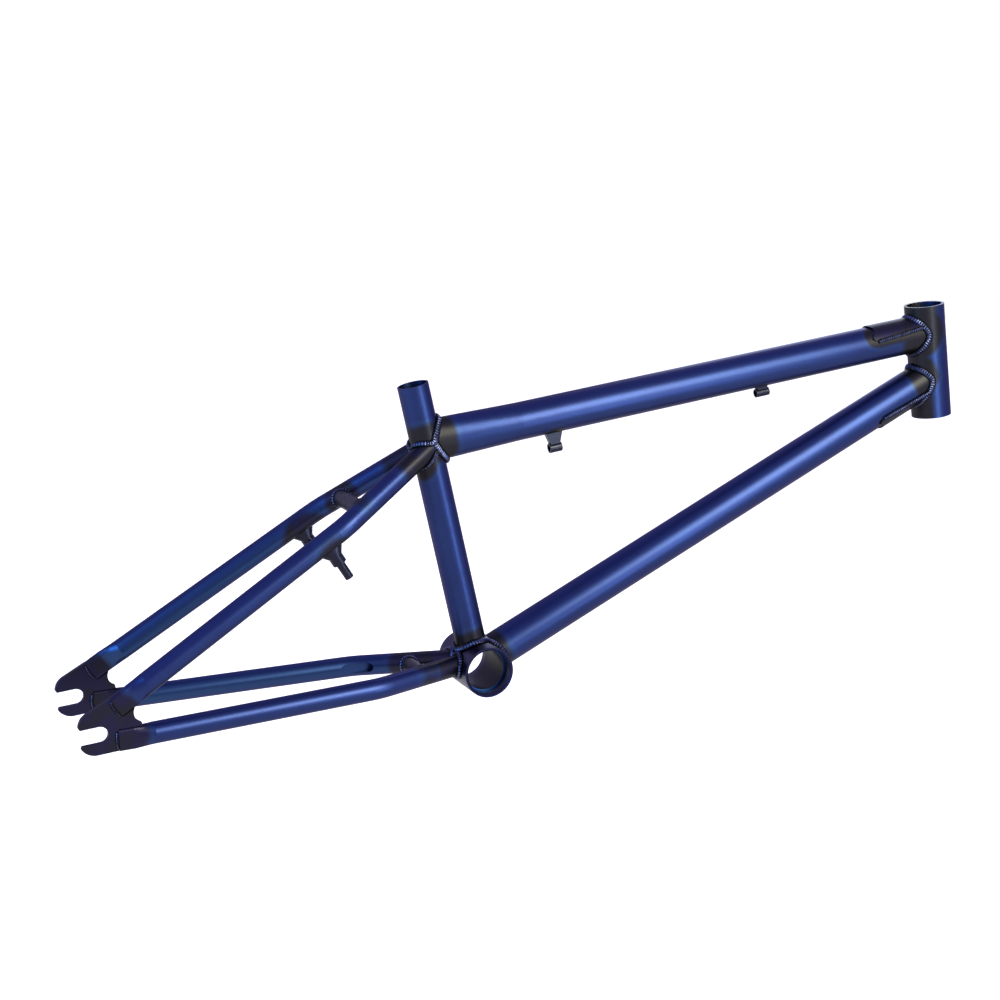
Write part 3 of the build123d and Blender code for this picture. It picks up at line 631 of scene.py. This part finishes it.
# ---------------------------------------------------------------- operators
class FRAME_OT_finish_tubes(bpy.types.Operator):
    """Give every CAD piece of the frame but the weld nodes its finish"""
    bl_idname = "frame.finish_tubes"
    bl_label = "Finish Tubes"

    def execute(self, context):
        lines = tube_lines()
        sizes = context.scene.frame_sizes
        colours = context.scene.finish_colours
        top_joint = crossing(lines["top"], lines["head"])
        down_joint = crossing(lines["down"], lines["head"])
        seat_joint = crossing(lines["top"], lines["seat"])
        behind = Vector((-sizes.head_radius, 0, 0))
        head_up = lines["head"].direction
        across = Vector((0, 1, 0))

        def edge_line(tube, first, way, high, length):
            whole = (crossing(tube, lines["head"]) - first).length
            up = tube.direction.cross(across) * way
            side = up * high + across * math.sqrt(sizes.main_radius ** 2 - high ** 2)
            start = first + tube.direction * (whole - length) + side
            return start, first + tube.direction * whole + side

        def at(line, x):
            return line.point + line.direction * ((x - line.point.x) / line.direction.x)

        inset = 4 * MM            # scorch follows a gusset's bead this far inside its edges
        top_edge = edge_line(lines["top"], seat_joint, 1, sizes.top_gusset_edge + inset,
                             sizes.top_gusset_length - inset)
        down_edge = edge_line(lines["down"], Vector(), -1, sizes.down_gusset_edge + inset,
                              sizes.down_gusset_length - inset)
        stop_rise = 14 * MM       # from each cable fitting's bore up to the tube
        guide_rise = 6 * MM
        hang_down = hanging(lines["top"].direction)
        rear_stop = mount_point("rear_housing_socket") - hang_down * stop_rise
        guide = mount_point("front_housing_guide") - hang_down * guide_rise
        chain_front, seat_front = Vector(sizes.chain_front), Vector(sizes.seat_front)
        axle = mount_point("rear_axle_slot_left")
        foot_inset = 3.5 * MM     # brake boss's foot, inside its spring hole
        boss = mount_point("spring_hole_left")
        boss.y -= foot_inset
        chain_bridge = at(lines["chain"], sizes.chain_bridge_x)
        seat_bridge = at(lines["seat_stay"], sizes.seat_bridge_x)
        inner = across * sizes.stay_radius
        # heat zones of each piece: (start, end, radius, softness)
        zones = {
            "head_tube": [(top_joint + behind, top_joint + behind, 34 * MM, 4 * MM),
                          (top_joint + behind, top_joint + behind + head_up * 30 * MM, 30 * MM, 4 * MM),
                          (down_joint + behind, down_joint + behind, 27 * MM, 4 * MM),
                          (down_joint + behind, down_joint + behind - head_up * 40 * MM, 20 * MM,
                           4 * MM)],
            "top_tube": [(top_joint, top_joint, 43 * MM, 6 * MM), (*top_edge, 12 * MM, 3 * MM),
                         (seat_joint, seat_joint, 31 * MM, 4 * MM),
                         (rear_stop, rear_stop, 14 * MM, 4 * MM), (guide, guide, 10 * MM, 3 * MM)],
            "down_tube": [(down_joint, down_joint, 34 * MM, 4 * MM), (*down_edge, 6 * MM, 3 * MM),
                          (Vector(), Vector(), 38 * MM, 5 * MM)],
            "seat_tube": [(seat_joint, seat_joint, 24 * MM, 4 * MM),
                          (seat_front, seat_front, 22 * MM, 4 * MM),
                          (Vector(), Vector(), 39 * MM, 5 * MM)],
            "chain_stay": [(chain_front, chain_front, 30 * MM, 8 * MM), (axle, axle, 42 * MM, 5 * MM),
                           (chain_bridge - inner, chain_bridge - inner, 20 * MM, 5 * MM)],
            "seat_stay": [(seat_front, seat_front, 24 * MM, 6 * MM), (axle, axle, 42 * MM, 5 * MM),
                          (seat_bridge - inner, seat_bridge - inner, 17 * MM, 5 * MM),
                          (boss, boss, 27 * MM, 6 * MM)],
            "dropout": [(axle, axle, 90 * MM, 4 * MM)],
            "top_tube_gusset": [(top_joint, top_joint, 120 * MM, 4 * MM)],
            "down_tube_gusset": [(*down_edge, 9 * MM, 5 * MM),
                                 (down_joint, down_joint, 40 * MM, 5 * MM)],
        }
        fitting = scorched_fitting()
        made = {
            "chain_stay_bridge": sooty_bridge("chain_stay_bridge", chain_bridge,
                                              sizes.chain_bridge_radius),
            "seat_stay_bridge": sooty_bridge("seat_stay_bridge", seat_bridge, sizes.seat_bridge_radius),
        }
        for name, node in frame["nodes"].items():
            if name.startswith("weld_"):
                continue
            if name.startswith(("brake_", "rear_cable", "front_cable")):
                material = fitting
            elif name == "bottom_bracket_shell":
                material = shell_steel()
            else:
                kind = name.removesuffix("_left").removesuffix("_right")
                if kind not in made:
                    plate = kind == "dropout" or kind.endswith(("gusset", "stay"))
                    made[kind] = candy_blue_steel(f"candy_blue_steel_{kind}", zones[kind],
                                                  colours.indigo if plate else colours.scorched)
                material = made[kind]
            node.data.materials.clear()
            node.data.materials.append(material)
        return {"FINISHED"}


class FRAME_OT_lay_beads(bpy.types.Operator):
    """Lay the rippled weld beads round the tube joints"""
    bl_idname = "frame.lay_beads"
    bl_label = "Lay Weld Beads"

    def execute(self, context):
        lines = tube_lines()
        sizes = context.scene.frame_sizes
        weld = lacquered_weld()
        main, seat, stay = sizes.main_radius, sizes.seat_radius, sizes.stay_radius
        head, shell = sizes.head_radius, sizes.shell_radius
        # (bead, branch tube, which way it leaves, half height, half width, main tube, its radius,
        # leg, whether both sides have one)
        rings = [
            ("head_top_tube", "top", -1, main, main, "head", head, sizes.bead_leg, False),
            ("head_down_tube", "down", -1, main, main, "head", head, sizes.bead_leg, False),
            ("seat_top_tube", "top", 1, sizes.oval_half_height, sizes.oval_half_width, "seat", seat,
             sizes.bead_leg, False),
            ("shell_seat_tube", "seat", 1, seat, seat, "shell", shell, sizes.bead_leg, False),
            ("shell_down_tube", "down", 1, main, main, "shell", shell, sizes.bead_leg, False),
            ("shell_chain_stays", "chain", 1, stay, stay, "shell", shell, sizes.stay_bead_leg, True),
            ("seat_stays", "seat_stay", 1, stay, stay, "seat", seat, sizes.stay_bead_leg, True),
        ]
        for name, branch, way, high, wide, on, radius, leg, both in rings:
            strips = ring_strips(lines[branch], lines[branch].direction * way, high, wide, lines[on],
                                 radius, leg, both)
            place_piece(f"bead_{name}", strip_mesh(f"bead_{name}", strips), weld,
                        [f"weld_{name}"])
        for name, on, place_x, radius in (
                ("chain_stay_bridge", "chain", sizes.chain_bridge_x, sizes.chain_bridge_radius),
                ("seat_stay_bridge", "seat_stay", sizes.seat_bridge_x, sizes.seat_bridge_radius)):
            side = lines[on]
            z = side.point.z + (place_x - side.point.x) * side.direction.z / side.direction.x
            strips = ring_strips(Line((place_x, 0, z), (0, 1, 0)), Vector((0, -1, 0)), radius, radius,
                                 side, stay, sizes.small_bead_leg, True)
            place_piece(f"bead_{name}", strip_mesh(f"bead_{name}", strips), weld,
                        [f"weld_{name}"])
        return {"FINISHED"}


class FRAME_OT_lay_edge_beads(bpy.types.Operator):
    """Lay the straight beads along the gussets' edges and across the dropouts"""
    bl_idname = "frame.lay_edge_beads"
    bl_label = "Lay Edge Beads"

    def execute(self, context):
        lines = tube_lines()
        sizes = context.scene.frame_sizes
        weld = lacquered_weld()
        for name, key, up_way, first, length, edge, flare in (
                ("top_tube_gusset", "top", 1, crossing(lines["top"], lines["seat"]),
                 sizes.top_gusset_length, sizes.top_gusset_edge, sizes.top_gusset_flare),
                ("down_tube_gusset", "down", -1, Vector(),
                 sizes.down_gusset_length, sizes.down_gusset_edge, sizes.down_gusset_flare)):
            tube = lines[key]
            across = Vector((0, 1, 0))
            up = tube.direction.cross(across) * up_way
            whole = (crossing(tube, lines["head"]) - first).length
            start = whole - length + sizes.edge_bead_start
            stop = whole - sizes.edge_bead_stop
            count = int((stop - start) / sizes.ripple_pitch) * STEPS_PER_RIPPLE
            items = []
            for step in range(count + 1):
                part = step / count
                along = start + (stop - start) * part
                high = edge + flare * (along - whole + length) / length
                wide = math.sqrt(sizes.main_radius ** 2 - high ** 2)
                foot = first + tube.direction * along
                out = (up * high + across * wide).normalized()
                down = (across * high - up * wide).normalized()
                items.append((foot + out * sizes.main_radius, out, down))

            def toe(point, edge_side):
                return tube.onto(point, sizes.main_radius - 0.1 * MM) if edge_side else point

            rows, crests = bead_rows(items, sizes.edge_bead_leg, sizes.ripple_pitch, False, toe)
            twin = [[mirrored(p) for p in row] for row in rows]
            strips = [(rows, crests, False), (twin, crests, False)]
            place_piece(f"bead_{name}", strip_mesh(f"bead_{name}", strips), weld,
                        [f"weld_{name}"])
        for side, way in (("left", 1), ("right", -1)):
            strips = []
            for end, key in ((sizes.chain_tail, "chain_rear"), (sizes.seat_tail, "seat_stay_rear")):
                back = -lines[key].direction
                across = hanging(lines[key].direction)
                for face in (1, -1):
                    middle = Vector(end) + Vector((0, sizes.dropout_half * face, 0))
                    items = []
                    count = int(2 * sizes.tail_bead_reach / sizes.ripple_pitch) * STEPS_PER_RIPPLE
                    for step in range(count + 1):
                        part = 2 * step / count - 1
                        bow = back * (1 - part * part) * DROPOUT_BEAD_BOW
                        items.append((middle + across * part * sizes.tail_bead_reach + bow,
                                      Vector((0, face, 0)), back))
                    rows, crests = bead_rows(items, sizes.dropout_bead_leg, sizes.ripple_pitch,
                                             False, lambda point, edge_side: point)
                    if way < 0:
                        rows = [[mirrored(p) for p in row] for row in rows]
                    strips.append((rows, crests, False))
            place_piece(f"bead_dropout_{side}", strip_mesh(f"bead_dropout_{side}", strips), weld,
                        [f"weld_dropout_{side}"])
        return {"FINISHED"}


class FRAME_OT_build_studio(bpy.types.Operator):
    """Add the pale floor, soft lights and camera"""
    bl_idname = "frame.build_studio"
    bl_label = "Build Studio"

    def execute(self, context):
        scene = context.scene
        studio = scene.studio_settings
        scene.view_settings.view_transform = "Standard"
        hang = Matrix.Rotation(-studio.nose_down, 4, "Y")
        azimuth, elevation = studio.view_azimuth, studio.view_elevation
        back = Vector((math.sin(azimuth) * math.cos(elevation), -math.cos(azimuth) * math.cos(elevation),
                       math.sin(elevation)))
        turn = back.to_track_quat("Z", "Y").to_matrix().to_4x4()
        level = Matrix.Translation(Vector(studio.view_target) + back * studio.view_distance) @ turn
        data = bpy.data.cameras.new("studio_camera")
        data.lens = studio.focal_length
        data.sensor_width = 36
        data.shift_x, data.shift_y = studio.frame_shift
        camera = bpy.data.objects.new("studio_camera", data)
        camera.matrix_world = hang @ level
        scene.collection.objects.link(camera)
        scene.camera = camera

        floor_size = 60.0
        half = floor_size / 2
        mesh = bpy.data.meshes.new("floor")
        corners = [(-half, -half), (half, -half), (half, half), (-half, half)]
        mesh.from_pydata([(x, y, -studio.ground_clearance) for x, y in corners], [], [(0, 1, 2, 3)])
        floor = bpy.data.objects.new("floor", mesh)
        scene.collection.objects.link(floor)
        mesh.materials.append(pale_floor())
        floor.visible_glossy = False

        # (name, watts, colour, width, height, degrees right of the camera, elevation, distance)
        lamps = [
            ("key_softbox", 42, "#FFFFDC", 0.75, 1.1, 44, 25, 2.2),
            ("fill_softbox", 26, "#6FC8FF", 0.7, 1.4, -55, 14, 2.2),
            ("back_softbox", 12, "#E6F2FF", 0.9, 1.3, 160, 24, 2.2),
            ("side_strip", 3.0, "#DDF2FF", 0.2, 0.6, 50, -6, 1.3),
        ]
        centre = (CAD_BOX[0] + CAD_BOX[1]) / 2
        for name, watts, colour, wide, high, right, rise, distance in lamps:
            light = bpy.data.lights.new(name, "AREA")
            light.shape = "RECTANGLE"
            light.size, light.size_y = wide, high
            light.energy = watts
            light.color = linear(colour)
            lamp = bpy.data.objects.new(name, light)
            bearing = azimuth + math.radians(right)
            lift = math.radians(rise)
            way = Vector((math.sin(bearing) * math.cos(lift), -math.cos(bearing) * math.cos(lift),
                          math.sin(lift)))
            way = hang.to_3x3() @ way
            lamp.location = centre + way * distance
            lamp.rotation_mode = "QUATERNION"
            lamp.rotation_quaternion = way.to_track_quat("Z", "Y")
            scene.collection.objects.link(lamp)

        # even light that whitens the floor alone and leaves the lacquer's reflections to the softboxes
        wash = bpy.data.lights.new("floor_wash", "SUN")
        wash.energy = 3.4
        wash.angle = math.radians(150)
        lamp = bpy.data.objects.new("floor_wash", wash)
        lamp.visible_glossy = False
        scene.collection.objects.link(lamp)

        world = bpy.data.worlds.new("studio_world")
        world.use_nodes = True
        tree = world.node_tree
        tree.nodes.clear()
        sky = add(tree, "ShaderNodeTexCoord")
        split = add(tree, "ShaderNodeSeparateXYZ", {0: sky.outputs["Generated"]})
        height = add(tree, "ShaderNodeMapRange", {"Value": split.outputs["Z"], "From Min": -0.5,
                                                  "From Max": 0.2, "To Min": 0.0, "To Max": 1.0},
                     interpolation_type="SMOOTHSTEP")
        dome = add(tree, "ShaderNodeMix", {"Factor": height.outputs[0],
                                           "A": rgba(linear("#F4F2F8")), "B": rgba(linear("#A8A2D8"))},
                   data_type="RGBA")
        seen = add(tree, "ShaderNodeBackground", {"Color": (1, 1, 1, 1), "Strength": 1.0})
        dim = add(tree, "ShaderNodeBackground", {"Color": dome.outputs["Result"], "Strength": 1.0})
        path = add(tree, "ShaderNodeLightPath")
        mix = add(tree, "ShaderNodeMixShader", {0: path.outputs["Is Camera Ray"], 1: dim.outputs[0],
                                                2: seen.outputs[0]})
        add(tree, "ShaderNodeOutputWorld", {"Surface": mix.outputs[0]})
        scene.world = world
        return {"FINISHED"}


STEPS = (FRAME_OT_finish_tubes, FRAME_OT_lay_beads, FRAME_OT_lay_edge_beads, FRAME_OT_build_studio)


class VIEW3D_PT_frame_finishes(bpy.types.Panel):
    """Lists the building steps"""
    bl_label = "Bicycle Frame"
    bl_idname = "VIEW3D_PT_frame_finishes"
    bl_space_type = "VIEW_3D"
    bl_region_type = "UI"
    bl_category = "Frame"

    def draw(self, context):
        for step in STEPS:
            self.layout.operator(step.bl_idname)


GROUPS = {"frame_sizes": FrameSizes, "finish_colours": FinishColours,
          "studio_settings": StudioSettings}
CLASSES = (*GROUPS.values(), *STEPS, VIEW3D_PT_frame_finishes)


def register():
    for one in CLASSES:
        bpy.utils.register_class(one)
    for name, group in GROUPS.items():
        setattr(bpy.types.Scene, name, bpy.props.PointerProperty(type=group))


def unregister():
    for name in GROUPS:
        delattr(bpy.types.Scene, name)
    for one in reversed(CLASSES):
        bpy.utils.unregister_class(one)


def main():
    register()
    bpy.ops.frame.finish_tubes()
    bpy.ops.frame.lay_beads()
    bpy.ops.frame.lay_edge_beads()
    bpy.ops.frame.build_studio()
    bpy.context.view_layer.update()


if __name__ == "__main__":
    main()
